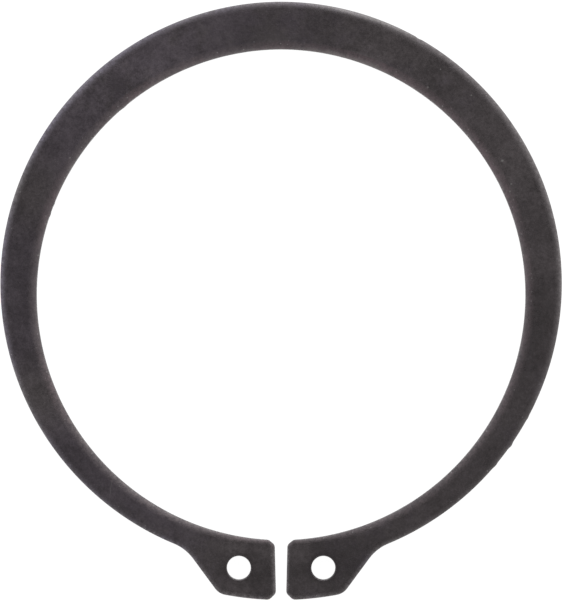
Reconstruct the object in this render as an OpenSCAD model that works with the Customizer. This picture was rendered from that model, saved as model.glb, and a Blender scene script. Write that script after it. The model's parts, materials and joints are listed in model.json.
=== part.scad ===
// External retaining ring: a flat C of spring steel that snaps into the groove of a shaft.
// It lies flat, with the edges that the punch rolled over on the upper face.
// The origin is the middle of the inner edge, on the lower face. +Z is the shaft's axis.
// The gap and its two lugs point along -Y, and the back of the ring is at +Y.
// All sizes are in millimetres and all angles in degrees.

/* [Ring] */
// Thickness of the strip that the ring is punched from
thickness = 2.5; // [2:0.1:3]
// Inner edge of the free ring, measured across it
inner_width = 65.4; // [62:0.1:72]
// How far each half is set in towards the middle line, so that the free ring is longer than it is wide
half_set = 0.14; // [0.1:0.02:0.3]
// Radial width of the band at the back, its widest place
back_width = 6.34; // [5.4:0.02:7]
// Radial width that the tapering band would reach at the gap
front_width = 3.32; // [2.8:0.02:3.8]

/* [Lugs] */
// Radial height of the lugs, from the inner edge of the ring
lug_height = 7.96; // [7.4:0.02:8.4]
// Distance from the middle of the gap to the outer corner of a lug, before it is rounded
lug_reach = 8.33; // [8:0.01:9]
// Lean of the flanks, from the direction of the gap
flank_lean = 36.4; // [33:0.1:40]
// Radius of the hollow where a flank runs into the outer edge
neck_radius = 6; // [4:0.1:8]
// Radius of the rounded corner between a flank and the end of a lug
corner_radius = 2.2; // [1.7:0.1:2.6]

/* [Gap] */
// Width of the gap at the inner edge
gap_inner_width = 1.72; // [1.2:0.02:2.4]
// Width of the gap at the end of the lugs
gap_outer_width = 1.34; // [1.2:0.02:2.4]
// Inner corner of a lug at the gap: how far it is cut off along the inner edge
inner_cut_along = 0.8; // [0.6:0.05:1]
// Inner corner of a lug at the gap: how far it is cut off along the gap
inner_cut_down = 0.62; // [0.5:0.02:1]
// Outer corner of a lug at the gap: how far it is cut off each way
outer_cut = 0.9; // [0.7:0.05:1.1]

/* [Plier holes] */
// Diameter of the two holes for the tips of the pliers
hole_diameter = 3.2; // [2.8:0.1:3.6]
// Distance between the middles of the two holes
hole_spacing = 11.3; // [10.9:0.1:11.7]
// Distance of a hole's middle from the inner edge of the ring
hole_height = 4.1; // [3.8:0.05:4.4]
// Bevel round the upper rim of a hole
hole_bevel = 0.16; // [0.1:0.02:0.24]

/* [Rolled edges] */
// Width of the rolled edge on the upper face, along the inner edge
inner_roll_width = 1; // [0.6:0.05:1.2]
// Width of the rolled edge along the outer edge and round the lugs
outer_roll_width = 0.7; // [0.4:0.05:0.8]
// Width of the rolled edge along the gap and its cut corners
gap_roll_width = 0.5; // [0.3:0.05:0.6]
// Depth of the rolled edge along the outer edge; the others follow from it
roll_depth = 0.32; // [0.2:0.02:0.5]

/* [Hidden] */
$fn = 240;

// Flat bevels that make up a rolled edge
roll_steps = 3;
// How far a cutter runs on past the surface that it cuts
past = 1;
// How deep a rounding bites into the edges beside it, so that it crosses them instead of just touching
bite = 0.01;
// Extra turn of an arc's cutter past its end
spare_turn = 8;
// Ends of the arcs' cutters at the back of the ring and at the gap
back_heading = 90 + spare_turn;
gap_heading = -90 - spare_turn;

// Width and depth of each rolled edge: no two that meet are equally deep
inner_roll = [inner_roll_width, 1.12 * roll_depth];
outer_roll = [outer_roll_width, roll_depth];
neck_roll = [outer_roll_width, 1.06 * roll_depth];
corner_roll = [outer_roll_width, 0.94 * roll_depth];
gap_roll = [gap_roll_width, 0.82 * roll_depth];
cut_roll = [gap_roll_width, 0.7 * roll_depth];

inner_radius = inner_width / 2 + half_set;
inner_middle = [-half_set, 0];
outer_radius = inner_radius + (back_width + front_width) / 2;
outer_middle = [-half_set, (back_width - front_width) / 2];
lug_radius = inner_radius + lug_height;
hole_x = hole_spacing / 2;
hole_y = low_point(inner_radius + hole_height, hole_x);

// Flank of the right lug: its direction up to the ring, its outward side, and its distance from the origin
flank_up = [sin(flank_lean), cos(flank_lean)];
flank_out = [cos(flank_lean), -sin(flank_lean)];
flank_foot = [lug_reach, low_point(lug_radius, lug_reach)];
flank_distance = flank_foot * flank_out;

// Hollow between the flank and the outer edge
neck_start = flank_out * (flank_distance + neck_radius - bite);
neck_middle = neck_start + flank_up * climb(neck_start - outer_middle, outer_radius + neck_radius - bite);
neck_on_flank = neck_middle - flank_out * (neck_radius - bite);
neck_on_ring = outer_middle + outer_radius * unit(neck_middle - outer_middle);

// Rounded corner between the flank and the end of the lug
corner_start = flank_out * (flank_distance - corner_radius + bite);
corner_middle = corner_start + flank_up * climb(corner_start, lug_radius - corner_radius + bite);
corner_on_flank = corner_middle + flank_out * (corner_radius - bite);
corner_on_end = lug_radius * unit(corner_middle);

// Right-hand side of the gap, from the inner edge down to the end of the lug
face_top = gap_point(-inner_radius - inner_cut_down);
face_foot = gap_point(-lug_radius + outer_cut);
inner_cut_x = gap_inner_width / 2 + inner_cut_along;
inner_cut_end = [inner_cut_x, low_point(inner_radius, inner_cut_x + half_set)];
outer_cut_x = face_foot.x + outer_cut;
outer_cut_end = [outer_cut_x, low_point(lug_radius, outer_cut_x)];

function unit(v) = v / norm(v);
function heading(v) = atan2(v.y, v.x);
// Height of the lower half of a circle about the origin, at a given x
function low_point(radius, x) = -sqrt(radius * radius - x * x);
// Lower of the two steps along the flank that end at a given distance from the origin
function climb(from, distance) =
    let (along = from * flank_up)
    -along - sqrt(along * along - from * from + distance * distance);
// Point of the gap's right-hand face at a given y
function gap_point(y) =
    let (share = (-y - inner_radius) / lug_height)
    [(gap_inner_width + share * (gap_outer_width - gap_inner_width)) / 2, y];
// Line drawn on past its end by a given length
function drawn_on(from, to, length) = to + unit(to - from) * length;

module disc(middle, radius) {
    translate(middle)
        circle(r = radius);
}

// Lug with a square outer corner, up into the band
module lug_blank() {
    root_y = -0.85 * inner_radius;
    root_step = (root_y - flank_foot.y) / flank_up.y;
    foot_step = (-lug_radius - past - flank_foot.y) / flank_up.y;
    intersection() {
        disc([0, 0], lug_radius);
        polygon([
            [0, root_y],
            flank_foot + flank_up * root_step,
            flank_foot + flank_up * foot_step,
            [0, -lug_radius - past]
        ]);
    }
}

// Metal that fills the neck, before its hollow is cut
module neck_fill() {
    chord_middle = (neck_on_flank + neck_on_ring) / 2;
    polygon([neck_on_flank, neck_on_ring, chord_middle - unit(neck_middle - chord_middle) * back_width / 4]);
}

// What the rounded corner takes off the lug
module corner_waste() {
    reach = corner_radius / 2;
    difference() {
        polygon([
            corner_on_end,
            corner_on_end + unit(corner_middle) * reach,
            flank_foot + unit(flank_foot - corner_middle) * reach,
            corner_on_flank + flank_out * reach,
            corner_on_flank
        ]);
        disc(corner_middle, corner_radius);
    }
}

// What the gap and its two cut corners take off the right half
module gap_waste() {
    inner_end = drawn_on(face_top, inner_cut_end, past);
    outer_end = drawn_on(face_foot, outer_cut_end, past);
    polygon([
        [-past, inner_end.y],
        inner_end,
        face_top,
        face_foot,
        outer_end,
        [-past, outer_end.y]
    ]);
}

// Right half of the ring, seen from above
module half_outline() {
    intersection() {
        difference() {
            union() {
                disc(outer_middle, outer_radius);
                lug_blank();
                neck_fill();
            }
            disc(inner_middle, inner_radius);
            disc(neck_middle, neck_radius);
            corner_waste();
            gap_waste();
        }
        translate([0, -lug_radius - past])
            square(2 * (lug_radius + past));
    }
}

// Section of what a rolled edge takes off: x runs into the metal, y is the height
module roll_section(roll) {
    bevels = [
        for (step = [0:roll_steps])
            let (turn = 90 * step / roll_steps)
            [roll.x * (1 - sin(turn)), thickness - roll.y * (1 - cos(turn))]
    ];
    top_end = drawn_on(bevels[1], bevels[0], past);
    low_end = drawn_on(bevels[roll_steps - 1], bevels[roll_steps], roll.y);
    inner_bevels = [for (step = [1:roll_steps - 1]) bevels[step]];
    polygon([top_end, each inner_bevels, low_end, [-past, low_end.y], [-past, top_end.y]]);
}

// Cutter of a rolled edge along an arc; side is 1 where the metal lies outside the arc, and -1 inside
module arc_roll(roll, middle, radius, side, from_heading, to_heading) {
    translate(middle)
        rotate_extrude(angle = to_heading - from_heading, start = from_heading)
            translate([radius, 0])
                mirror([side < 0 ? 1 : 0, 0])
                    roll_section(roll);
}

// Cutter of a rolled edge along a line with the metal on its left
module straight_roll(roll, from, to, from_past, to_past) {
    translate(from)
        rotate(heading(to - from))
            translate([-from_past, 0])
                rotate([90, 0, 90])
                    linear_extrude(norm(to - from) + from_past + to_past)
                        roll_section(roll);
}

// Cutters of the curved rolled edges, from the back of the ring round the outside of the right lug
module outer_rolls() {
    neck_from = heading(neck_on_ring - neck_middle) - spare_turn;
    neck_to = heading(neck_on_flank - neck_middle) + spare_turn;
    arc_roll(outer_roll, outer_middle, outer_radius, -1, heading(neck_on_ring - outer_middle), back_heading);
    arc_roll(neck_roll, neck_middle, neck_radius, 1, neck_from, neck_to);
    arc_roll(corner_roll, corner_middle, corner_radius, -1, heading(corner_middle), heading(flank_out));
    arc_roll(outer_roll, [0, 0], lug_radius, -1, gap_heading, heading(corner_middle) + spare_turn);
}

// Cutters of the rolled edges along the right side of the gap
module gap_rolls() {
    straight_roll(cut_roll, face_foot, outer_cut_end, past, past);
    straight_roll(gap_roll, face_top, face_foot, past, past);
    straight_roll(cut_roll, inner_cut_end, face_top, past, past);
}

// Hole for the tip of the pliers, with its bevelled rim
module plier_hole() {
    hole_radius = hole_diameter / 2;
    translate([hole_x, hole_y, -past])
        cylinder(h = thickness + 2 * past, r = hole_radius);
    translate([hole_x, hole_y, thickness - 2 * hole_bevel])
        cylinder(h = 4 * hole_bevel, r1 = hole_radius - hole_bevel, r2 = hole_radius + 3 * hole_bevel);
}

// Right half with only its flank rolled over
module half_blank() {
    difference() {
        linear_extrude(thickness)
            half_outline();
        straight_roll(outer_roll, corner_on_flank, neck_on_flank, past, 0);
    }
}

module half_ring() {
    difference() {
        half_blank();
        arc_roll(inner_roll, inner_middle, inner_radius, 1, gap_heading, back_heading);
        outer_rolls();
        gap_rolls();
        plier_hole();
    }
}

module retaining_ring() {
    color("#3e3a3c") {
        half_ring();
        mirror([1, 0, 0])
            half_ring();
    }
}

retaining_ring();
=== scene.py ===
"""Dresses the external retaining ring: rolled edges, a dark phosphate coat and a plain studio stage."""
import json
import math

import bmesh
import bpy
import numpy as np
from bpy.props import FloatProperty, FloatVectorProperty, IntProperty, PointerProperty
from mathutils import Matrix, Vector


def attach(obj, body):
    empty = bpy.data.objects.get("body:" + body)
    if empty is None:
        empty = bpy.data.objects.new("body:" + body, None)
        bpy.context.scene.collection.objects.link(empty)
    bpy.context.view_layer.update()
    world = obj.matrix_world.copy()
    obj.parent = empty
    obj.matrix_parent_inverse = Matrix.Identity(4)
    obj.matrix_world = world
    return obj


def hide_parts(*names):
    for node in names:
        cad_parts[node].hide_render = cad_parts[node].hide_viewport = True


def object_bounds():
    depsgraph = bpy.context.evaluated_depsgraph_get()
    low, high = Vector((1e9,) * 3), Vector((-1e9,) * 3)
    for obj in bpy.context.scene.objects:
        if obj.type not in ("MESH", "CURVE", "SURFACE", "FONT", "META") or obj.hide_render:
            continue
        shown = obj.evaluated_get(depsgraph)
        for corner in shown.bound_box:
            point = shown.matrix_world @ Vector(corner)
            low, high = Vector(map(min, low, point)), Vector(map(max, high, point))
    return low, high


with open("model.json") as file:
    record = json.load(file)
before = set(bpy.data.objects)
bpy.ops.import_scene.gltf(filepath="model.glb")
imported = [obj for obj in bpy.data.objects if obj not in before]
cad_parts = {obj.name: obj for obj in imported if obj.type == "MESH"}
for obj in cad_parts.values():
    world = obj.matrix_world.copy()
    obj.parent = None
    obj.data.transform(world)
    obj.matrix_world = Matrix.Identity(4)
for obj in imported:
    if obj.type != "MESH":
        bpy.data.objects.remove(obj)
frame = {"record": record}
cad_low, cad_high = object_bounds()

bl_info = {
    "name": "External retaining ring",
    "version": (1, 0, 0),
    "blender": (4, 5, 0),
    "location": "3D View > Sidebar > Retaining ring",
    "description": "Makes a punched retaining ring with rolled edges and a phosphate coat, on a stage",
    "category": "Add Mesh",
}

MM = 0.001
NODE = "retaining_ring"
PIECE = "punched_ring"
EDGE_SHARE = "edge_share"
WALL_SHARE = "wall_share"
BLACK = (0, 0, 0)
WHITE = (1, 1, 1)
mounts = {mount["name"]: mount for mount in frame["record"]["mounts"]}
hole_mount = mounts["plier_hole_right"]


# Properties

def length(name, description, size_mm):
    """Property for a length, with its default in millimetres."""
    return FloatProperty(
        name=name, description=description, default=size_mm * MM, min=0, unit="LENGTH", precision=5,
    )


def colour(name, description, default):
    """Property for a linear colour."""
    return FloatVectorProperty(
        name=name, description=description, default=default, size=3, min=0, max=1, subtype="COLOR",
    )


def share(name, description, default):
    """Property for a number from nought to one."""
    return FloatProperty(name=name, description=description, default=default, min=0, max=1, subtype="FACTOR")


def strength(name, description, default):
    """Property for the strength of a light or a texture."""
    return FloatProperty(name=name, description=description, default=default, min=0)


class RingSizes(bpy.types.PropertyGroup):
    """Sizes of the punched ring."""

    thickness: length("Thickness", "Thickness of the strip", (cad_high.z - cad_low.z) / MM)
    inner_width: length("Inner width", "Inner edge of the free ring, measured across it", 65.4)
    half_set: length("Half set", "How far each half is set in towards the middle line", 0.14)
    back_width: length("Back width", "Radial width of the band at the back", 6.34)
    front_width: length("Front width", "Radial width that the band would reach at the gap", 3.32)
    lug_height: length("Lug height", "Radial height of the lugs from the inner edge", 7.96)
    lug_reach: length("Lug reach", "Middle of the gap to the outer corner of a lug", 8.33)
    flank_lean: FloatProperty(
        name="Flank lean", description="Lean of the flanks, from the direction of the gap",
        default=math.radians(36.4), subtype="ANGLE",
    )
    neck_radius: length("Neck radius", "Hollow where a flank runs into the outer edge", 6)
    corner_radius: length("Corner radius", "Rounded corner between a flank and the end of a lug", 2.2)
    gap_inner_width: length("Gap, inner", "Width of the gap at the inner edge", 1.72)
    gap_outer_width: length("Gap, outer", "Width of the gap at the end of the lugs", 1.34)
    inner_cut_along: length("Inner cut along", "Inner corner cut off along the inner edge", 0.8)
    inner_cut_down: length("Inner cut down", "Inner corner cut off along the gap", 0.62)
    outer_cut: length("Outer cut", "Outer corner at the gap, cut off each way", 0.9)
    hole_radius: length("Hole radius", "Radius of the plier holes", hole_mount["dims"]["r_mm"])
    hole_bevel: length("Hole bevel", "Rounding of the upper rim of a plier hole", 0.16)


class RollSizes(bpy.types.PropertyGroup):
    """Sizes of the edges that the punch rolled over."""

    inner_width: length("Inner roll", "Width of the rolled edge along the inner edge", 1.5)
    outer_width: length("Outer roll", "Width of the rolled edge along the outer edge", 1.2)
    gap_width: length("Gap roll", "Width of the rolled edge along the gap", 0.72)
    cut_width: length("Cut roll", "Width of the rolled edge along the cut corners", 0.5)
    inner_lug_share: share("Inner share, lugs", "Part of the inner roll's size left at the lugs", 0.37)
    outer_lug_share: share("Outer share, lugs", "Part of the outer roll's size left at the lugs", 0.57)
    outer_back_share: share("Outer share, back", "Part of the outer roll's size left at the back", 0.82)
    inner_depth: length("Inner depth", "Depth of the rolled edge along the inner edge", 0.43)
    outer_depth: length("Outer depth", "Depth of the rolled edge along the outer edge", 0.35)
    gap_depth: length("Gap depth", "Depth of the rolled edge along the gap", 0.23)
    cut_depth: length("Cut depth", "Depth of the rolled edge along the cut corners", 0.2)
    start: FloatProperty(
        name="Roll start", description="Place on a quarter ellipse where the rolled section starts",
        default=math.radians(27), subtype="ANGLE",
    )
    land: length("Land", "Flat strip that ends a rolled edge", 0.08)
    corner: length("Corner", "Rounding of the cut corners, seen from above", 0.8)
    waver: share("Waver", "How much the width of a rolled edge varies along the ring", 0.1)
    rows: IntProperty(name="Rows", description="Rows of faces across a rolled edge", default=12, min=2)
    step: length("Step", "Distance between points along the outline", 0.2)


class CoatLook(bpy.types.PropertyGroup):
    """Colours and texture of the phosphate coat, and the colours of the painted highlight on its rolled
    edges.
    """

    cool: colour("Cool coat", "Coat where it leans to violet", (0.0309, 0.0252, 0.0304))
    warm: colour("Warm coat", "Coat where it leans to brown", (0.0299, 0.0254, 0.0258))
    pale: colour("Pale coat", "Coat where it is thin or dusty", (0.043, 0.035, 0.040))
    # The four edge colours are scuff marks made paler to paint the highlight of the light that the rolled
    # edges reflect; the violet of the outer left one is the tint of that light
    inner_scuff_highlight_left: colour("Inner scuffs, left", "Scuffed inner edge on the left", (0.099, 0.081, 0.083))
    inner_scuff_highlight_right: colour("Inner scuffs, right", "Scuffed inner edge on the right", (0.112, 0.078, 0.086))
    outer_scuff_highlight_left: colour("Outer scuffs, left", "Scuffed outer edge on the left", (0.130, 0.117, 0.150))
    outer_scuff_highlight_right: colour("Outer scuffs, right", "Scuffed outer edge on the right", (0.127, 0.117, 0.118))
    dust: colour("Dust", "Fine specks on the upper face", (0.24, 0.23, 0.23))
    steel: colour("Bare steel", "Steel that shows where the coat is rubbed off", (0.3, 0.29, 0.28))
    sheen: colour("Sheen", "Colour of what the coat reflects", (1, 0.915, 0.94))
    roughness: share("Roughness", "Roughness of the coat", 0.34)
    ior: FloatProperty(name="IOR", description="Index of refraction of the coat", default=1.6, min=1)
    wear: share("Wear", "How far the rolled edges are rubbed", 0.3)
    grain: length("Grain", "Size of the fine grain", 0.25)
    cloud: length("Cloud", "Size of the largest cloudy blotches", 12.8)
    mottle: strength("Mottle", "How strongly the blotches show", 5.8)


class StageLook(bpy.types.PropertyGroup):
    """Floor, light and camera."""

    floor: colour("Floor", "Colour of the floor", (0.12, 0.12, 0.12))
    glow: strength("Glow", "Strength of the light table under the ring", 0.98)
    overhead: strength("Overhead", "Strength of the light straight above", 0.05)
    dome: strength("Dome", "Strength of the light from all round", 0.95)
    left_tint: colour("Left tint", "Colour of the soft light on the left", (0.94, 0.96, 1))
    left_box: strength("Left softbox", "Strength of the soft light at the back, on the left", 0.74)
    right_box: strength("Right softbox", "Strength of the soft light at the back, on the right", 1.0)
    strip: strength("Strip light", "Strength of the narrow light at the back", 2.4)
    distance: FloatProperty(
        name="Camera distance", description="Height of the camera over the ring", default=1.2, unit="LENGTH",
    )
    view_height: length("View height", "Height of the picture at the upper face", 80.18)
    view_x: FloatProperty(
        name="View X", description="Middle of the picture, across", default=-0.013 * MM, unit="LENGTH",
    )
    view_y: FloatProperty(
        name="View Y", description="Middle of the picture, front to back", default=-0.70 * MM, unit="LENGTH",
    )


class RingSettings(bpy.types.PropertyGroup):
    """All the settings of the ring and its stage."""

    sizes: PointerProperty(type=RingSizes)
    roll: PointerProperty(type=RollSizes)
    coat: PointerProperty(type=CoatLook)
    stage: PointerProperty(type=StageLook)


# Nodes

class Wire:
    """Output socket of a node. Sums with wires and numbers add Math nodes to its tree."""

    def __init__(self, board, socket):
        self.board = board
        self.socket = socket

    def calc(self, operation, *values, clamp=False):
        """Adds a Math node that works on wires and numbers."""
        return self.board.add(
            "ShaderNodeMath", {"operation": operation, "use_clamp": clamp}, dict(enumerate(values))
        )

    def out(self, name):
        """Another output of the same node."""
        outputs = self.socket.node.outputs
        return Wire(self.board, next(s for s in outputs if s.enabled and s.name == name))

    def __add__(self, other):
        return self.calc("ADD", self, other)

    __radd__ = __add__

    def __sub__(self, other):
        return self.calc("SUBTRACT", self, other)

    def __rsub__(self, other):
        return self.calc("SUBTRACT", other, self)

    def __mul__(self, other):
        return self.calc("MULTIPLY", self, other)

    __rmul__ = __mul__

    def __truediv__(self, other):
        return self.calc("DIVIDE", self, other)

    def __rtruediv__(self, other):
        return self.calc("DIVIDE", other, self)

    def __pow__(self, other):
        return self.calc("POWER", self, other)

    def __gt__(self, other):
        return self.calc("GREATER_THAN", self, other)

    def __lt__(self, other):
        return self.calc("LESS_THAN", self, other)


class Board:
    """Node tree to which one method adds any node."""

    def __init__(self, tree):
        self.tree = tree

    def feed(self, node, inputs):
        """Sets or links the inputs of a node, by their names or places."""
        for key, value in inputs.items():
            if isinstance(key, int):
                socket = node.inputs[key]
            else:
                socket = next(s for s in node.inputs if s.enabled and s.name == key)
            for item in value if isinstance(value, list) else [value]:
                if isinstance(item, Wire):
                    self.tree.links.new(item.socket, socket)
                else:
                    socket.default_value = item

    def add(self, kind, settings=None, inputs=None):
        """Adds a node, with its settings set first, and returns its first output in use."""
        node = self.tree.nodes.new(kind)
        for name, value in (settings or {}).items():
            setattr(node, name, value)
        self.feed(node, inputs or {})
        return Wire(self, next((s for s in node.outputs if s.enabled), None) or node)

    def noise(self, place, size, detail, roughness, seed):
        """Noise from nought to one whose lumps have a given size."""
        return self.add(
            "ShaderNodeTexNoise", {"noise_dimensions": "4D"},
            {"Vector": place, "W": seed, "Scale": 1 / size, "Detail": detail, "Roughness": roughness},
        )

    def smooth(self, value, low, high):
        """Rises smoothly from nought at low to one at high."""
        return self.add(
            "ShaderNodeMapRange", {"interpolation_type": "SMOOTHSTEP"},
            {"Value": value, "From Min": low, "From Max": high},
        )

    def blend(self, factor, first, second):
        """Mixes two colours."""
        return self.add("ShaderNodeMix", {"data_type": "RGBA"}, {"Factor": factor, "A": first, "B": second})


def opaque(values):
    """Colour with its alpha."""
    return (*values, 1)


# Outline of the ring

# Knocks in the edges: place, reach and how far the edge stands out there, all in millimetres
KNOCKS = (
    (30.76, -20.17, 0.4, 0.12), (28.65, -22.78, 0.4, 0.07), (32.9, -16.42, 0.3, 0.05),
    (18.3, 34.1, 0.35, -0.1), (-21.1, 25.2, 0.5, 0.06), (-30.9, 10.7, 0.25, 0.06),
    (-30.4, 12.2, 0.25, 0.05),
)

# Waver of a rolled edge: the size and the pace of each wave
WAVES = ((0.5, 9), (0.35, 23), (0.25, 41))
# Starts of the waves on the right half and on the left half, and how much later the inner edge's start
RIGHT_PHASE = 0.4
LEFT_PHASE = 2.9
INNER_PHASE = 1.3
# Length at a lug over which a rolled edge widens fast, and the part of its widening that it does there
LUG_STRETCH = 20 * MM
OUTER_FAST_SHARE = 0.3
INNER_FAST_SHARE = 0.55
# Length of each half at the back over which the outer rolled edge narrows
BACK_STRETCH = 32 * MM
# Size of the rolled edge at the gap on the right lug, as a share of the left lug's
RIGHT_GAP_SHARE = 0.65
# Rounding of a cut corner where its rolled edge ends
TIGHT_CORNER = 0.08 * MM
# Length of an edge over which its rows are drawn away from a corner
CORNER_REACH = 2.5 * MM
# Stretches that turn by more than this meet at a corner
SHARP_TURN = math.radians(5)
# Points along a corner's rounding and round a hole
CORNER_POINTS = 7
HOLE_POINTS = 72
# Fewest steps along a stretch, and steps to the radius of an arc
FEWEST_STEPS = 4
RADIUS_STEPS = 12


def unit(vector):
    """Vector of length one in the same direction."""
    return vector / np.linalg.norm(vector)


def heading(vector):
    """Angle of a vector from +X."""
    return math.atan2(vector[1], vector[0])


def low_point(radius, x):
    """Height of the lower half of a circle about the origin, at a given x."""
    return -math.sqrt(radius * radius - x * x)


class Run:
    """Stretch of the outline with the metal on its right, and the size of its rolled edge."""

    radius = math.inf

    def __init__(self, length, width, depth):
        self.length = length
        self.width = width
        self.depth = depth

    def shares(self, at):
        """Shares of the rolled edge's width and depth at lengths along the stretch."""
        return np.ones(len(at)), np.ones(len(at))

    def widths(self, at):
        """Widths of the rolled edge at lengths along the stretch."""
        return self.width * self.shares(at)[0]

    def depths(self, at):
        """Depths of the rolled edge at lengths along the stretch."""
        return self.depth * self.shares(at)[1]


class Line(Run):
    """Straight stretch."""

    def __init__(self, start, end, width, depth):
        super().__init__(np.linalg.norm(end - start), width, depth)
        self.start = start
        self.along = unit(end - start)

    def place(self, at):
        """Points at lengths along the stretch, and the directions into the metal."""
        points = self.start + np.outer(at, self.along)
        return points, np.tile([self.along[1], -self.along[0]], (len(at), 1))


class Arc(Run):
    """Stretch of a circle, from one heading to another."""

    def __init__(self, middle, radius, start, end, width, depth):
        super().__init__(abs(end - start) * radius, width, depth)
        self.middle = middle
        self.radius = radius
        self.start = start
        self.turning = 1 if end > start else -1

    def place(self, at):
        """Points at lengths along the stretch, and the directions into the metal."""
        turns = self.start + self.turning * at / self.radius
        spokes = np.stack([np.cos(turns), np.sin(turns)], 1)
        return self.middle + self.radius * spokes, self.turning * spokes


class BandArc(Arc):
    """Long edge of the band. Its roll wavers, and narrows to a share of its size at the lug and the back."""

    def __init__(self, *arc, lug_share, back_share, fast_share, lug_first, waver, phase):
        super().__init__(*arc)
        self.lug_share = lug_share
        self.back_share = back_share
        self.fast_share = fast_share
        self.lug_first = lug_first
        self.waver = waver
        self.phase = phase

    def shares(self, at):
        """Shares of the rolled edge's width and depth at lengths along the stretch."""
        turns = at / self.radius
        wave = sum(size * np.sin(pace * turns + self.phase * pace) for size, pace in WAVES)
        from_lug = at if self.lug_first else self.length - at
        fast = 1 - (1 - np.clip(from_lug / LUG_STRETCH, 0, 1)) ** 2
        clear = self.fast_share * fast + (1 - self.fast_share) * from_lug / self.length
        narrow = self.lug_share + (1 - self.lug_share) * clear
        to_back = np.clip(1 - (self.length - from_lug) / BACK_STRETCH, 0, 1)
        narrow = narrow * (1 - (1 - self.back_share) * to_back * to_back * (3 - 2 * to_back))
        return narrow * (1 + self.waver * wave * clear), narrow


def right_half(sizes, roll, phase, gap_share):
    """Stretches of the right half's outline, from the back along the outer edge and home along the inner."""
    inner_radius = sizes.inner_width / 2 + sizes.half_set
    inner_middle = np.array([-sizes.half_set, 0])
    outer_radius = inner_radius + (sizes.back_width + sizes.front_width) / 2
    outer_middle = np.array([-sizes.half_set, (sizes.back_width - sizes.front_width) / 2])
    lug_radius = inner_radius + sizes.lug_height

    flank_up = np.array([math.sin(sizes.flank_lean), math.cos(sizes.flank_lean)])
    flank_out = np.array([flank_up[1], -flank_up[0]])
    flank_distance = np.dot([sizes.lug_reach, low_point(lug_radius, sizes.lug_reach)], flank_out)

    def climb(start, reach):
        """Lower point on the flank's parallel through a start, at a reach from the origin."""
        along = start @ flank_up
        return start + flank_up * (-along - math.sqrt(along * along - start @ start + reach * reach))

    neck_start = flank_out * (flank_distance + sizes.neck_radius)
    neck_middle = outer_middle + climb(neck_start - outer_middle, outer_radius + sizes.neck_radius)
    neck_on_flank = neck_middle - flank_out * sizes.neck_radius
    neck_on_ring = outer_middle + outer_radius * unit(neck_middle - outer_middle)
    corner_start = flank_out * (flank_distance - sizes.corner_radius)
    corner_middle = climb(corner_start, lug_radius - sizes.corner_radius)
    corner_on_flank = corner_middle + flank_out * sizes.corner_radius

    def gap_point(y):
        """Point of the gap's right-hand face."""
        part = (-y - inner_radius) / sizes.lug_height
        width = sizes.gap_inner_width + part * (sizes.gap_outer_width - sizes.gap_inner_width)
        return np.array([width / 2, y])

    face_top = gap_point(-inner_radius - sizes.inner_cut_down)
    face_foot = gap_point(-lug_radius + sizes.outer_cut)
    inner_x = sizes.gap_inner_width / 2 + sizes.inner_cut_along
    inner_cut_end = np.array([inner_x, low_point(inner_radius, inner_x + sizes.half_set)])
    outer_x = face_foot[0] + sizes.outer_cut
    outer_cut_end = np.array([outer_x, low_point(lug_radius, outer_x)])

    lug = roll.outer_lug_share * roll.outer_width, roll.outer_lug_share * roll.outer_depth
    face = gap_share * roll.gap_width, gap_share * roll.gap_depth
    cut = roll.cut_width, roll.cut_depth
    return [
        BandArc(
            outer_middle, outer_radius, math.acos(sizes.half_set / outer_radius),
            heading(neck_on_ring - outer_middle), roll.outer_width, roll.outer_depth, waver=roll.waver,
            phase=phase, lug_share=roll.outer_lug_share, back_share=roll.outer_back_share,
            fast_share=OUTER_FAST_SHARE, lug_first=False,
        ),
        Arc(
            neck_middle, sizes.neck_radius, heading(neck_on_ring - neck_middle),
            heading(neck_on_flank - neck_middle), *lug,
        ),
        Line(neck_on_flank, corner_on_flank, *lug),
        Arc(corner_middle, sizes.corner_radius, heading(flank_out), heading(corner_middle), *lug),
        Arc(np.zeros(2), lug_radius, heading(corner_middle), heading(outer_cut_end), *lug),
        Line(outer_cut_end, face_foot, *cut),
        Line(face_foot, face_top, *face),
        Line(face_top, inner_cut_end, *cut),
        BandArc(
            inner_middle, inner_radius, heading(inner_cut_end - inner_middle),
            math.acos(sizes.half_set / inner_radius), roll.inner_width, roll.inner_depth, waver=roll.waver,
            phase=phase + INNER_PHASE, lug_share=roll.inner_lug_share, back_share=1,
            fast_share=INNER_FAST_SHARE, lug_first=True,
        ),
    ]


class Corner:
    """Small rounding between two stretches that meet at an angle."""

    def __init__(self, before, after, roll):
        stop, start = np.array([before.length]), np.zeros(1)
        (tip,), (first,) = before.place(stop)
        _, (second,) = after.place(start)
        self.turn = math.atan2(first[0] * second[1] - first[1] * second[0], first @ second)
        self.sharp = abs(self.turn) > SHARP_TURN
        if not self.sharp:
            return
        widths = np.concatenate([before.widths(stop), after.widths(start)])
        parts = np.linspace(0, 1, CORNER_POINTS)
        headings = heading(-first) + parts * self.turn
        spokes = np.stack([np.cos(headings), np.sin(headings)], 1)

        def rounded(distances, radius):
            """Points of a rounding whose sides lie at distances from the two stretches."""
            middle = tip + np.linalg.solve([first, second], distances + radius)
            return middle + radius * spokes

        self.points = rounded(np.zeros(2), roll.corner)
        self.ends = rounded(widths, TIGHT_CORNER)
        self.lands = rounded(widths + roll.land, TIGHT_CORNER)
        self.depths = before.depths(stop) + parts * (after.depths(start) - before.depths(stop))
        # How far along the stretches the roundings reach, from the tip
        out_of, into = np.array([-first[1], first[0]]), np.array([-second[1], second[0]])
        self.trims_before = [(tip - path[0]) @ out_of for path in (self.points, self.ends, self.lands)]
        self.trims_after = [(path[-1] - tip) @ into for path in (self.points, self.ends, self.lands)]


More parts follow.
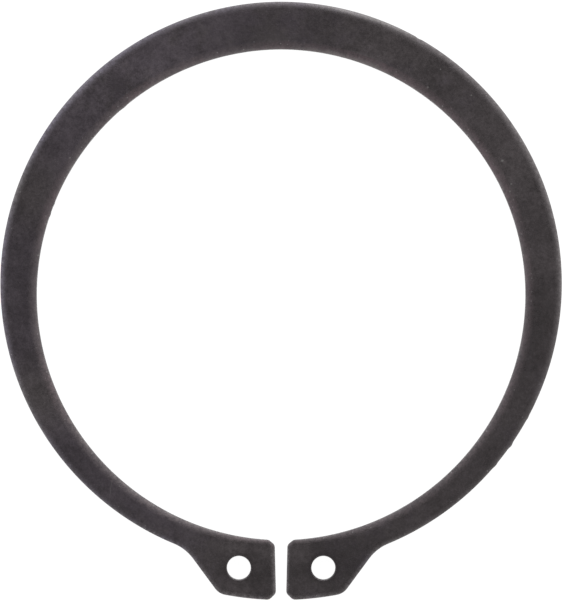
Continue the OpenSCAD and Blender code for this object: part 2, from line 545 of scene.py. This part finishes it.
def half_outline(sizes, roll, phase, gap_share=1):
    """Right half of the loop round the ring, in the form of the whole outline."""
    runs = right_half(sizes, roll, phase, gap_share)
    corners = [Corner(before, after, roll) for before, after in zip(runs, runs[1:])]
    none = [0, 0, 0]
    parts = []
    for index, run in enumerate(runs):
        before = corners[index - 1] if index and corners[index - 1].sharp else None
        after = corners[index] if index < len(corners) and corners[index].sharp else None
        starts = before.trims_after if before else none
        stops = after.trims_before if after else none
        if before:
            parts.append((before.points, before.ends, before.lands, before.depths))
        steps = max(FEWEST_STEPS, round(run.length / min(roll.step, run.radius / RADIUS_STEPS)))
        foot = np.linspace(starts[0], run.length - stops[0], steps + 1)
        if before:
            foot = foot[1:]
        if after or index + 1 < len(runs):
            foot = foot[:-1]

        def moved(start, stop):
            """Lengths along the stretch, drawn away from its corners as far as a rounding there reaches."""
            reach = min(run.length - starts[0] - stops[0], CORNER_REACH)
            near = np.clip(1 - (foot - starts[0]) / reach, 0, 1)
            far = np.clip(1 - (run.length - stops[0] - foot) / reach, 0, 1)
            return foot + (start - starts[0]) * near - (stop - stops[0]) * far

        points, _ = run.place(foot)
        at = moved(starts[1], stops[1])
        spots, inward = run.place(at)
        ends = spots + inward * run.widths(at)[:, None]
        at = moved(starts[2], stops[2])
        spots, inward = run.place(at)
        lands = spots + inward * (run.widths(at) + roll.land)[:, None]
        parts.append((points, ends, lands, run.depths(foot)))
    points, ends, lands, depths = (np.concatenate(part) for part in zip(*parts))
    for row in (points, ends, lands):
        row[0, 0] = row[-1, 0] = 0
    return points, ends - points, lands - ends, depths


def outline(sizes, roll):
    """Closed loop round the ring: points, steps to the rolled ends and to the lands, and rolled depths."""
    right = half_outline(sizes, roll, RIGHT_PHASE, RIGHT_GAP_SHARE)
    left = half_outline(sizes, roll, LEFT_PHASE)
    flip = np.array([-1, 1])
    mirrored = [left[0] * flip, left[1] * flip, left[2] * flip, left[3]]
    points, ends, lands, depths = (
        np.concatenate([one, other[-2:0:-1]]) for one, other in zip(right, mirrored)
    )
    for x, y, reach, height in KNOCKS:
        distances = np.linalg.norm(points / MM - (x, y), axis=1)
        push = height * MM * np.exp(-(distances / reach) ** 2)
        push = push[:, None] * ends / np.linalg.norm(ends, axis=1)[:, None]
        points, ends = points - push, ends + push
    return points, ends, lands, depths


def hole_rim(middle, sizes, roll):
    """Closed loop round a plier hole, in the same form as the outline."""
    turns = np.linspace(0, 2 * math.pi, HOLE_POINTS, endpoint=False)
    spokes = np.stack([np.cos(turns), np.sin(turns)], 1)
    depths = np.full(len(turns), sizes.hole_bevel)
    return middle + sizes.hole_radius * spokes, sizes.hole_bevel * spokes, roll.land * spokes, depths


# Mesh of the ring

# Points closer than this are one
MERGE_DISTANCE = 0.0005 * MM
# Faces that meet at less than this angle are shaded as one surface
SMOOTH_ANGLE = math.radians(30)
# Attributes that only the making of the rolled edges needs
LOOP_MARKS = "foot", "ends", "lands", "depths", "rim"


class MeshBoard(Board):
    """Tree of Geometry Nodes, with the nodes that the rolled edges need most."""

    def stored(self, geometry, name, kind, domain, value, selection=True):
        """Geometry with a named attribute stored on it."""
        return self.add(
            "GeometryNodeStoreNamedAttribute", {"data_type": kind, "domain": domain},
            {"Geometry": geometry, "Name": name, "Value": value, "Selection": selection},
        )

    def named(self, name, kind):
        """Value of a named attribute."""
        return self.add("GeometryNodeInputNamedAttribute", {"data_type": kind}, {"Name": name})

    def vector_sum(self, first, second):
        """Sum of two vectors."""
        return self.add("ShaderNodeVectorMath", {"operation": "ADD"}, {0: first, 1: second})

    def scaled(self, name, factor):
        """Named vector times a number."""
        vector = self.named(name, "FLOAT_VECTOR")
        return self.add("ShaderNodeVectorMath", {"operation": "SCALE"}, {"Vector": vector, "Scale": factor})

    def upward(self, height):
        """Vector straight up."""
        return self.add("ShaderNodeCombineXYZ", None, {"Z": height})

    def filled(self, mesh, selection):
        """Flat face inside the selected loops of a mesh, at height nought."""
        curve = self.add("GeometryNodeMeshToCurve", None, {"Mesh": mesh, "Selection": selection})
        return self.add("GeometryNodeFillCurve", {"mode": "TRIANGLES"}, {"Curve": curve})


def next_row(board, mesh, row, thickness, start, rows):
    """Adds one row of faces to the rims: the wall first, then the rolled edge, and last its land."""
    grown = board.add(
        "GeometryNodeExtrudeMesh", {"mode": "EDGES"},
        {"Mesh": mesh, "Selection": board.named("rim", "BOOLEAN"), "Offset Scale": 0.0},
    )
    top, side = grown.out("Top"), grown.out("Side")
    turn = start + row.calc("DIVIDE", row, rows, clamp=True) * (math.pi / 2 - start)
    across = 1 - turn.calc("COSINE", turn) / start.calc("COSINE", start)
    fall = (1 - turn.calc("SINE", turn)) / (1 - start.calc("SINE", start))
    spot = board.vector_sum(board.named("foot", "FLOAT_VECTOR"), board.scaled("ends", across))
    spot = board.vector_sum(spot, board.scaled("lands", row > rows))
    spot = board.vector_sum(spot, board.upward(thickness - board.named("depths", "FLOAT") * fall))
    grown = board.add(
        "GeometryNodeSetPosition", None, {"Geometry": grown, "Selection": top, "Position": spot},
    )
    grown = board.stored(grown, EDGE_SHARE, "FLOAT", "POINT", 1 - across, top)
    grown = board.stored(grown, WALL_SHARE, "FLOAT", "FACE", row < 1, side)
    return board.stored(grown, "rim", "BOOLEAN", "EDGE", top)


def rolled_edge_tree():
    """Geometry Nodes that raise closed loops to a solid whose upper edges are rolled over."""
    tree = bpy.data.node_groups.new("rolled_edges", "GeometryNodeTree")
    sockets = {}
    for name, kind in (
        ("Outline", "Geometry"), ("Thickness", "Float"), ("Start", "Float"), ("Rows", "Int"),
        ("Coat", "Material"),
    ):
        sockets[name] = tree.interface.new_socket(name=name, in_out="INPUT", socket_type="NodeSocket" + kind)
    tree.interface.new_socket(name="Ring", in_out="OUTPUT", socket_type="NodeSocketGeometry")
    board = MeshBoard(tree)
    entry = board.add("NodeGroupInput")
    loops, thickness, start, rows = (entry.out(name) for name in ("Outline", "Thickness", "Start", "Rows"))

    begun = board.stored(loops, "foot", "FLOAT_VECTOR", "POINT", board.add("GeometryNodeInputPosition"))
    begun = board.stored(begun, EDGE_SHARE, "FLOAT", "POINT", 1.0)
    begun = board.stored(begun, "rim", "BOOLEAN", "EDGE", True)
    opening = tree.nodes.new("GeometryNodeRepeatInput")
    closing = tree.nodes.new("GeometryNodeRepeatOutput")
    opening.pair_with_output(closing)
    board.feed(opening, {"Iterations": rows + 2, "Geometry": begun})
    mesh, row = (Wire(board, opening.outputs[name]) for name in ("Geometry", "Iteration"))
    board.feed(closing, {"Geometry": next_row(board, mesh, row, thickness, start, rows)})
    walls = Wire(board, closing.outputs["Geometry"])

    raised = board.upward(thickness)
    upper = board.filled(walls, board.named("rim", "BOOLEAN"))
    upper = board.add("GeometryNodeSetPosition", None, {"Geometry": upper, "Offset": raised})
    lower = board.filled(loops, True)
    whole = board.add("GeometryNodeJoinGeometry", None, {"Geometry": [walls, upper, lower]})
    whole = board.add("GeometryNodeMergeByDistance", None, {"Geometry": whole, "Distance": MERGE_DISTANCE})
    whole = board.add("GeometryNodeRealizeInstances", None, {"Geometry": whole})
    whole = board.add("GeometryNodeSetMaterial", None, {"Geometry": whole, "Material": entry.out("Coat")})
    board.add("NodeGroupOutput", None, {"Ring": whole})
    return tree, {name: socket.identifier for name, socket in sockets.items()}


def loops_mesh(loops):
    """Mesh of bare closed loops that carry what the rolled edges need."""
    points, ends, lands, depths = (np.concatenate(part) for part in zip(*loops))
    edges = []
    first = 0
    for loop in loops:
        count = len(loop[0])
        edges += [(first + i, first + (i + 1) % count) for i in range(count)]
        first += count
    mesh = bpy.data.meshes.new(PIECE)
    mesh.from_pydata(np.pad(points, ((0, 0), (0, 1))).tolist(), edges, [])
    for name, values in (("ends", ends), ("lands", lands)):
        flat = np.pad(values, ((0, 0), (0, 1))).ravel()
        mesh.attributes.new(name, "FLOAT_VECTOR", "POINT").data.foreach_set("vector", flat)
    mesh.attributes.new("depths", "FLOAT", "POINT").data.foreach_set("value", depths)
    return mesh


def closed_mesh(mesh):
    """Turns the faces of a closed mesh outwards and smooths its rolled edges."""
    work = bmesh.new()
    work.from_mesh(mesh)
    bmesh.ops.recalc_face_normals(work, faces=work.faces)
    if any(len(edge.link_faces) != 2 for edge in work.edges):
        raise RuntimeError("the ring's mesh isn't closed")
    if work.calc_volume(signed=True) < 0:
        bmesh.ops.reverse_faces(work, faces=work.faces)
    work.to_mesh(mesh)
    work.free()
    for name in [mark.name for mark in mesh.attributes if mark.name in LOOP_MARKS]:
        mesh.attributes.remove(mesh.attributes[name])
    mesh.shade_smooth()
    mesh.set_sharp_from_angle(angle=SMOOTH_ANGLE)
    return mesh


# Coat of the ring

# Places, reaches and the ends of ramps in the tables below are in millimetres
# Where the coat is paler or darker: place, reach and how much. Most are blotches of the coat; the strong
# dark spots round the plier holes paint the shade in the holes' rims, and the darker spots at the rolled
# edges on the sides paint shade where those edges catch too much light
PATCHES_AND_SHADE = (
    (34.5, -7, 13, -0.4), (24, -26, 22, -0.4), (5, -36.5, 10, -0.6), (-7, -36.5, 10, -0.5),
    (0, 36.5, 8, -0.3), (-13.5, 33, 12, 0.2), (-25, 26, 9, 0.2), (17, 31, 9, 0.3),
    (32, 13, 8, 0.15), (-33.5, -9, 7, 0.2), (-25, -24, 9, -0.25), (-31, -17, 8, 0.1),
    (-2, -34, 2.5, 0.5), (2.3, -34.3, 2.5, 0.4), (-16, 29, 5, 0.5), (11, 31.8, 6, 0.3),
    (0, 33.4, 4, 0.2), (30, 17.5, 5, 0.3), (32.3, 8.5, 6, -0.35), (-32.5, 3, 8, -0.25),
    (11, -35, 6, -0.25), (5.65, -36.5, 2.4, -1.6), (-5.65, -36.5, 2.4, -1.4), (-6.3, -33.6, 3.2, 0.75),
    (-5.4, -39.3, 2.8, 0.6), (-22.5, 28.5, 8, 0.4), (-5, 36, 7, -0.3), (5, -39.3, 2.8, 0.3),
)
# Where the coat is brown on the left too: place, reach and how much
BROWN = ((-4, -37, 13, 1), (-33.5, 13.6, 8, 1), (-32.5, -13.5, 8, 1))
# Bright specks: place, reach and how bare
SPECKS = (
    (19.6, 27.75, 0.17, 0.5), (21.3, 30.13, 0.15, 0.5), (25.42, 26.65, 0.16, 0.5),
    (29.57, 17.93, 0.26, 0.5), (30.55, 13.8, 0.21, 0.5), (30.76, 14.8, 0.15, 0.5),
    (-28.3, 25.6, 0.15, 0.5), (-28.2, 18.3, 0.17, 0.5), (-28.2, -22.75, 0.15, 0.5),
)
# Where the outer rolled edge at the back is lightest: a painted highlight of the narrow light there, laid on
# as scuff marks and bare steel, with some real rubbing: place, reach and how much
BACK_PAINTED_HIGHLIGHT = ((7, 38, 14, 0.75),)
BACK_WEAR_AND_HIGHLIGHT = ((11, 37, 11, 0.3), (0, 38.5, 16, 0.075))
# Ends of a faint scratch, its half width, how bare it is, and the part of its length where it doesn't fade
SCRATCH_ENDS = (-22.6, -24.7), (-22.9, -26.9)
SCRATCH_HALF_WIDTH = 0.09 * MM
SCRATCH_BARENESS = 0.12
SCRATCH_CORE = 0.6

# What changes from the gap to the back in the scuff marks and their painted highlight, which follow how the
# light falls round the rolled edges: a base, and for each ramp in y its two ends and its rise
SCUFF_CONTRAST = 0.75, (0, -25, 0.5)
OUTER_SCUFFS_AND_HIGHLIGHT = 0.62, (-25, 20, 1.2), (26, 38, -0.5)
LUG_SCUFFS_AND_HIGHLIGHT = 0, (-31, -35, 0.6)
INNER_SCUFFS_AND_HIGHLIGHT = 0.75, (0, -25, 0.3), (-28, -32, -0.2)
INNER_WARMTH = 1.3, (0, -25, -1)

# Textures: their size where the settings don't hold it, and their detail, roughness and seed
CLOUDS = 6, 1, 3.1
TINTS = 4, 0.8, 8.4
GRAINS = 2, 0.6, 1.7
RUBBING = 2.4 * MM, 4, 0.65, 5.2
SCUFFING = 0.5 * MM, 3, 0.75, 4.3
RELIEF = 0.45 * MM, 3, 0.7, 6.6

# Heights between which the marks of the rolled edges fade in, so that they stay off the cut faces
ROLL_HEIGHTS = 1.3 * MM, 2.05 * MM
# Half width of the border between the violet and the brown coat, and how far its course strays
TINT_BORDER = 25 * MM
TINT_STRAY = 160 * MM
# Darkest tone of the blotches, and how much of the tone goes into the colour
DARKEST_TONE = 0.45
TONE_IN_COLOUR = 0.55
# Grain that counts as pale, from none to all of it, and how well it covers
PALE_GRAIN = 0.54, 0.74
PALE_COVER = 0.4
# Distance from the ring's middle that parts the inner scuff marks and painted highlight from the outer ones
INNER_REACH = 33.88 * MM
# Noise between which the scuff marks with their painted highlight come and go, and how well they cover on
# the whole
SCUFF_RANGE = 0.34, 0.66
SCUFF_COVER = 0.6
# Cells that hold one speck or pit at most, and its reach as a part of a cell
DUST_CELL = 1.2 * MM
DUST_REACH = 0.11
# Chances at which a cell holds a speck of dust and a dark pit, from none to all of it
DUST_CHANCE = 0.45, 1
PIT_CHANCE = 0.4, 0
# How well specks and pits show on a rolled edge, and on the flat face
DUST_ON_EDGE = 0.9
DUST_ON_FACE = 0.08
# What rubs the coat off: the rolled edge, the rubbing and the grain, and the sum that bares the steel
EDGE_WEAR = 0.75
RUBBING_WEAR = 0.6
GRAIN_WEAR = 0.2
BARE_SUM = 0.95, 1.3
# Height where the cut faces are drawn smooth, height where they are torn, and how far that border strays
SMOOTH_HEIGHT = 1.7 * MM
TORN_HEIGHT = 1.2 * MM
TEAR_STRAY = 0.8 * MM
# Depth of the coat's fine relief, and how much rougher the torn faces are
RELIEF_DEPTH = 0.05 * MM
TEAR_RELIEF = 0.5
# How much the tone, the grain, the torn faces and bare steel change the roughness
TONE_ROUGHNESS = 0.1
GRAIN_ROUGHNESS = 0.1
TORN_ROUGHNESS = 0.25
BARE_ROUGHNESS = -0.1
# How metallic bare steel is beside the coat
BARE_METAL = 0.8


class CoatPoint:
    """Point of the ring as the nodes of its coat see it: its place, and the marks and textures there."""

    def __init__(self, board, look):
        self.board = board
        self.place = board.add("ShaderNodeTexCoord").out("Object")
        split = board.add("ShaderNodeSeparateXYZ", None, {"Vector": self.place})
        self.x, self.y, self.z = split.out("X"), split.out("Y"), split.out("Z")
        self.upper = board.smooth(self.z, *ROLL_HEIGHTS)
        self.edge = self.mark(EDGE_SHARE) * self.upper
        self.wall = self.mark(WALL_SHARE)
        self.mottle = board.noise(self.place, look.cloud, *CLOUDS) - 0.5
        self.grain = board.noise(self.place, look.grain, *GRAINS)
        self.rubbing = board.noise(self.place, *RUBBING)
        # Spots of the coat's tone, among them painted shade round the plier holes and on the rolled edges at
        # the sides
        self.patches_and_shade = self.spots(PATCHES_AND_SHADE) + 1
        self.tone = self.mottle.calc("MAXIMUM", self.mottle * look.mottle + 1, DARKEST_TONE) * self.patches_and_shade
        tint = board.noise(self.place, look.cloud / 2, *TINTS) - 0.5
        self.warmth = board.smooth(self.x + tint * TINT_STRAY, -TINT_BORDER, TINT_BORDER)
        self.warmth = self.warmth + self.spots(BROWN)

    def mark(self, name):
        """Share that the mesh holds for each of its points or faces."""
        return self.board.add("ShaderNodeAttribute", {"attribute_name": name}).out("Fac")

    def distance(self, x, y):
        """Distance from a place on the upper face."""
        spot = (x * MM, y * MM, cad_high.z)
        return self.board.add(
            "ShaderNodeVectorMath", {"operation": "DISTANCE"}, {0: self.place, 1: spot},
        ).out("Value")

    def spots(self, table):
        """Sum of spots on the upper face, each with a place, a reach and how much it adds at its middle."""
        return sum(
            self.board.smooth(self.distance(x, y), reach * MM, 0) * amount for x, y, reach, amount in table
        )

    def along_ring(self, base, *ramps):
        """Number that changes from the gap to the back by ramps in y."""
        return base + sum(self.board.smooth(self.y, low * MM, high * MM) * rise for low, high, rise in ramps)


def mottled_coat(point, look):
    """Coat that is violet on the left and brown on the right, with blotches and pale grains."""
    board = point.board
    coat = board.blend(point.warmth, opaque(look.cool), opaque(look.warm))
    shade = (point.tone - 1) * TONE_IN_COLOUR + 1
    coat = board.add("ShaderNodeVectorMath", {"operation": "SCALE"}, {"Vector": coat, "Scale": shade})
    grains = board.smooth(point.grain + point.mottle, *PALE_GRAIN) * PALE_COVER
    return board.blend(grains, coat, opaque(look.pale))


def scuffed_coat_with_painted_highlight(point, look, coat):
    """Scuff marks along the rolled edges, made paler to paint the highlight of the light they reflect. Those
    on the outer edge fade faster, and are strongest at the back.
    """
    board, edge = point.board, point.edge
    inner = point.distance(0, 0) < INNER_REACH
    scuffs_and_highlight = board.smooth(board.noise(point.place, *SCUFFING), *SCUFF_RANGE) - 0.5
    scuffs_and_highlight = scuffs_and_highlight * point.along_ring(*SCUFF_CONTRAST) + SCUFF_COVER
    on_outer = edge * (point.along_ring(*OUTER_SCUFFS_AND_HIGHLIGHT) + point.spots(BACK_PAINTED_HIGHLIGHT))
    on_outer = on_outer + point.along_ring(*LUG_SCUFFS_AND_HIGHLIGHT)
    on_inner = point.along_ring(*INNER_SCUFFS_AND_HIGHLIGHT)
    scuffs_and_highlight = scuffs_and_highlight * point.patches_and_shade * edge * (inner * on_inner + (1 - inner) * on_outer)
    outer_colour = board.blend(point.warmth, opaque(look.outer_scuff_highlight_left), opaque(look.outer_scuff_highlight_right))
    inner_warmth = point.along_ring(*INNER_WARMTH) * point.warmth
    inner_colour = board.blend(inner_warmth, opaque(look.inner_scuff_highlight_left), opaque(look.inner_scuff_highlight_right))
    return board.blend(scuffs_and_highlight, coat, board.blend(inner, outer_colour, inner_colour))


def dusty_coat(point, look, coat):
    """Specks of dust and dark pits, most of them on the rolled edges."""
    board = point.board
    cells = board.add(
        "ShaderNodeTexVoronoi", {"voronoi_dimensions": "2D"},
        {"Vector": point.place, "Scale": 1 / DUST_CELL},
    )
    chance = board.add("ShaderNodeSeparateColor", None, {"Color": cells.out("Color")}).out("Red")
    speck = board.smooth(cells.out("Distance"), DUST_REACH, 0) * point.upper
    speck = speck * (point.edge * DUST_ON_EDGE + DUST_ON_FACE)
    coat = board.blend(speck * board.smooth(chance, *DUST_CHANCE), coat, opaque(look.dust))
    return board.blend(speck * board.smooth(chance, *PIT_CHANCE), coat, opaque(BLACK))


def scratch_share(point):
    """Share of bare steel in the faint scratch."""
    board = point.board
    start, end = np.array(SCRATCH_ENDS)
    middle = (*(start + end) / 2 * MM, cad_high.z)
    half_length = np.linalg.norm(end - start) / 2 * MM
    along = unit(end - start)
    offset = board.add("ShaderNodeVectorMath", {"operation": "SUBTRACT"}, {0: point.place, 1: middle})

    def offset_along(x, y):
        """Distance from the scratch's middle along a direction."""
        part = board.add("ShaderNodeVectorMath", {"operation": "DOT_PRODUCT"}, {0: offset, 1: (x, y, 0)})
        part = part.out("Value")
        return part.calc("ABSOLUTE", part)

    across = board.smooth(offset_along(along[1], -along[0]), SCRATCH_HALF_WIDTH, 0)
    lengthwise = board.smooth(offset_along(*along), half_length, half_length * SCRATCH_CORE)
    return across * lengthwise * SCRATCH_BARENESS


def bare_share(point, look):
    """Share of bare steel: along the rolled edges, most at the back, where it also paints the highlight of
    the narrow light, and in specks and a scratch.
    """
    rubbed_off = point.edge * EDGE_WEAR + point.rubbing * RUBBING_WEAR + point.grain * GRAIN_WEAR
    worn = point.board.smooth(rubbed_off + point.spots(BACK_WEAR_AND_HIGHLIGHT), *BARE_SUM) * look.wear
    return worn.calc("MAXIMUM", worn, scratch_share(point) + point.spots(SPECKS))


def torn_share(point):
    """Share of the torn, matt surface that the punch left on the lower part of the cut faces."""
    border = point.z + (point.rubbing - 0.5) * TEAR_STRAY
    return point.wall * point.board.smooth(border, SMOOTH_HEIGHT, TORN_HEIGHT)


def phosphate_coat_with_painted_light(look):
    """Dark, mottled phosphate coat that is scuffed and rubbed along the rolled edges, with a painted
    highlight in those marks and painted shade round the plier holes.
    """
    material = bpy.data.materials.new("phosphate_coat_with_painted_light")
    material.use_nodes = True
    board = Board(material.node_tree)
    point = CoatPoint(board, look)
    bare = bare_share(point, look)
    torn = torn_share(point)
    coat = dusty_coat(point, look, scuffed_coat_with_painted_highlight(point, look, mottled_coat(point, look)))
    roughness = look.roughness + (point.tone - 1) * TONE_ROUGHNESS + (point.grain - 0.5) * GRAIN_ROUGHNESS
    height = board.noise(point.place, *RELIEF) + torn * point.rubbing * TEAR_RELIEF
    relief = board.add("ShaderNodeBump", None, {"Strength": 1, "Distance": RELIEF_DEPTH, "Height": height})
    board.feed(material.node_tree.nodes["Principled BSDF"], {
        "Base Color": board.blend(bare, coat, opaque(look.steel)),
        "Metallic": bare * BARE_METAL,
        "Roughness": roughness + torn * TORN_ROUGHNESS + bare * BARE_ROUGHNESS,
        "IOR": look.ior,
        "Specular Tint": opaque(look.sheen),
        "Normal": relief,
    })
    return material


# Ring

class RETAINING_OT_ring(bpy.types.Operator):
    """Makes the punched ring with its rolled edges and its coat"""

    bl_idname = "retaining.make_ring"
    bl_label = "Make ring"

    def execute(self, context):
        settings = context.scene.retaining_ring
        sizes, roll = settings.sizes, settings.roll
        loops = [outline(sizes, roll)]
        for name in ("plier_hole_right", "plier_hole_left"):
            loops.append(hole_rim(np.array(mounts[name]["pos_m"][:2]), sizes, roll))
        ring = bpy.data.objects.new(PIECE, loops_mesh(loops))
        context.scene.collection.objects.link(ring)
        tree, inputs = rolled_edge_tree()
        rolled = ring.modifiers.new("rolled_edges", "NODES")
        rolled.node_group = tree
        rolled[inputs["Thickness"]] = sizes.thickness
        rolled[inputs["Start"]] = roll.start
        rolled[inputs["Rows"]] = roll.rows
        rolled[inputs["Coat"]] = phosphate_coat_with_painted_light(settings.coat)
        shown = ring.evaluated_get(context.evaluated_depsgraph_get())
        ring.data = closed_mesh(bpy.data.meshes.new_from_object(shown))
        ring.modifiers.remove(rolled)
        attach(ring, "root")
        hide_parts(NODE)
        return {"FINISHED"}


# Stage

# Floor: half its side, how far it lies under the ring, and its roughness
FLOOR_REACH = 3
FLOOR_DROP = 0.01 * MM
FLOOR_ROUGHNESS = 0.9
# Milk in the floor's glass: its size, detail, roughness and seed, its colour and how well it covers
MILK = 1.5 * MM, 3, 0.5, 2
MILK_COLOUR = (0.1, 0.1, 0.1)
MILK_COVER = 0.1
# Headings of the two softboxes and of the strip, and how narrow the strip is
LEFT_HEADING = math.radians(150)
RIGHT_HEADING = math.radians(50)
STRIP_HEADING = math.radians(76)
STRIP_POWER = 14
# Heights between which the softboxes and the strip fade in, as a part of the way up the sky
BOX_HEIGHTS = 0.05, 0.6
# Keeps the share of the strip finite straight overhead
OVERHEAD_LEVEL = 1e-6


def pale_floor(look):
    """Milky glass, lit from below as on a light table."""
    material = bpy.data.materials.new("pale_floor")
    material.use_nodes = True
    board = Board(material.node_tree)
    place = board.add("ShaderNodeTexCoord").out("Object")
    milk = board.noise(place, *MILK) * MILK_COVER
    board.feed(material.node_tree.nodes["Principled BSDF"], {
        "Base Color": board.blend(milk, opaque(look.floor), opaque(MILK_COLOUR)),
        "Roughness": FLOOR_ROUGHNESS,
        "Emission Color": opaque(WHITE),
        "Emission Strength": look.glow,
    })
    return material


def studio_light(world, look):
    """Soft light from all round that is weakest overhead, with two softboxes and a strip at the back."""
    world.use_nodes = True
    board = Board(world.node_tree)
    place = board.add("ShaderNodeTexCoord").out("Generated")
    split = board.add("ShaderNodeSeparateXYZ", None, {"Vector": place})
    x, y, z = split.out("X"), split.out("Y"), split.out("Z")
    level = x.calc("SQRT", x * x + y * y + OVERHEAD_LEVEL)

    def towards(turn):
        """Share of a direction that points to a heading."""
        return x.calc("MAXIMUM", x * math.cos(turn) + y * math.sin(turn), 0.0)

    boxes = towards(LEFT_HEADING) * look.left_box + towards(RIGHT_HEADING) * look.right_box
    boxes = boxes + (towards(STRIP_HEADING) / level) ** STRIP_POWER * level * look.strip
    light = level * (boxes * board.smooth(z, *BOX_HEIGHTS) + look.dome) + look.overhead
    tint = board.blend(towards(LEFT_HEADING), opaque(WHITE), opaque(look.left_tint))
    board.feed(world.node_tree.nodes["Background"], {"Color": tint, "Strength": light})


class RETAINING_OT_stage(bpy.types.Operator):
    """Lays the floor and sets the light and the camera"""

    bl_idname = "retaining.set_stage"
    bl_label = "Set stage"

    def execute(self, context):
        scene = context.scene
        look = scene.retaining_ring.stage
        under = cad_low.z - FLOOR_DROP
        mesh = bpy.data.meshes.new("floor")
        signs = (-1, -1), (1, -1), (1, 1), (-1, 1)
        mesh.from_pydata([(x * FLOOR_REACH, y * FLOOR_REACH, under) for x, y in signs], [], [(0, 1, 2, 3)])
        mesh.materials.append(pale_floor(look))
        floor = bpy.data.objects.new("floor", mesh)
        scene.collection.objects.link(floor)

        scene.world = bpy.data.worlds.new("studio")
        studio_light(scene.world, look)
        scene.view_settings.view_transform = "Standard"

        lens = bpy.data.cameras.new("camera")
        lens.sensor_fit = "VERTICAL"
        lens.lens = lens.sensor_height * look.distance / look.view_height
        camera = bpy.data.objects.new("camera", lens)
        camera.location = (look.view_x, look.view_y, cad_high.z + look.distance)
        scene.collection.objects.link(camera)
        scene.camera = camera
        return {"FINISHED"}


class RETAINING_PT_panel(bpy.types.Panel):
    """Lists the settings and the steps"""

    bl_label = "Retaining ring"
    bl_idname = "RETAINING_PT_panel"
    bl_space_type = "VIEW_3D"
    bl_region_type = "UI"
    bl_category = "Retaining ring"

    def draw(self, context):
        settings = context.scene.retaining_ring
        for group in (settings.sizes, settings.roll, settings.coat, settings.stage):
            box = self.layout.box()
            for name in group.__annotations__:
                box.prop(group, name)
        self.layout.operator(RETAINING_OT_ring.bl_idname)
        self.layout.operator(RETAINING_OT_stage.bl_idname)


CLASSES = (
    RingSizes, RollSizes, CoatLook, StageLook, RingSettings,
    RETAINING_OT_ring, RETAINING_OT_stage, RETAINING_PT_panel,
)


def register():
    """Makes the settings, the steps and the panel known to Blender."""
    for kind in CLASSES:
        bpy.utils.register_class(kind)
    bpy.types.Scene.retaining_ring = PointerProperty(type=RingSettings)


def unregister():
    """Takes them out again."""
    del bpy.types.Scene.retaining_ring
    for kind in reversed(CLASSES):
        bpy.utils.unregister_class(kind)


def main():
    """Makes the ring and its stage."""
    register()
    bpy.ops.retaining.make_ring()
    bpy.ops.retaining.set_stage()


if __name__ == "__main__":
    main()
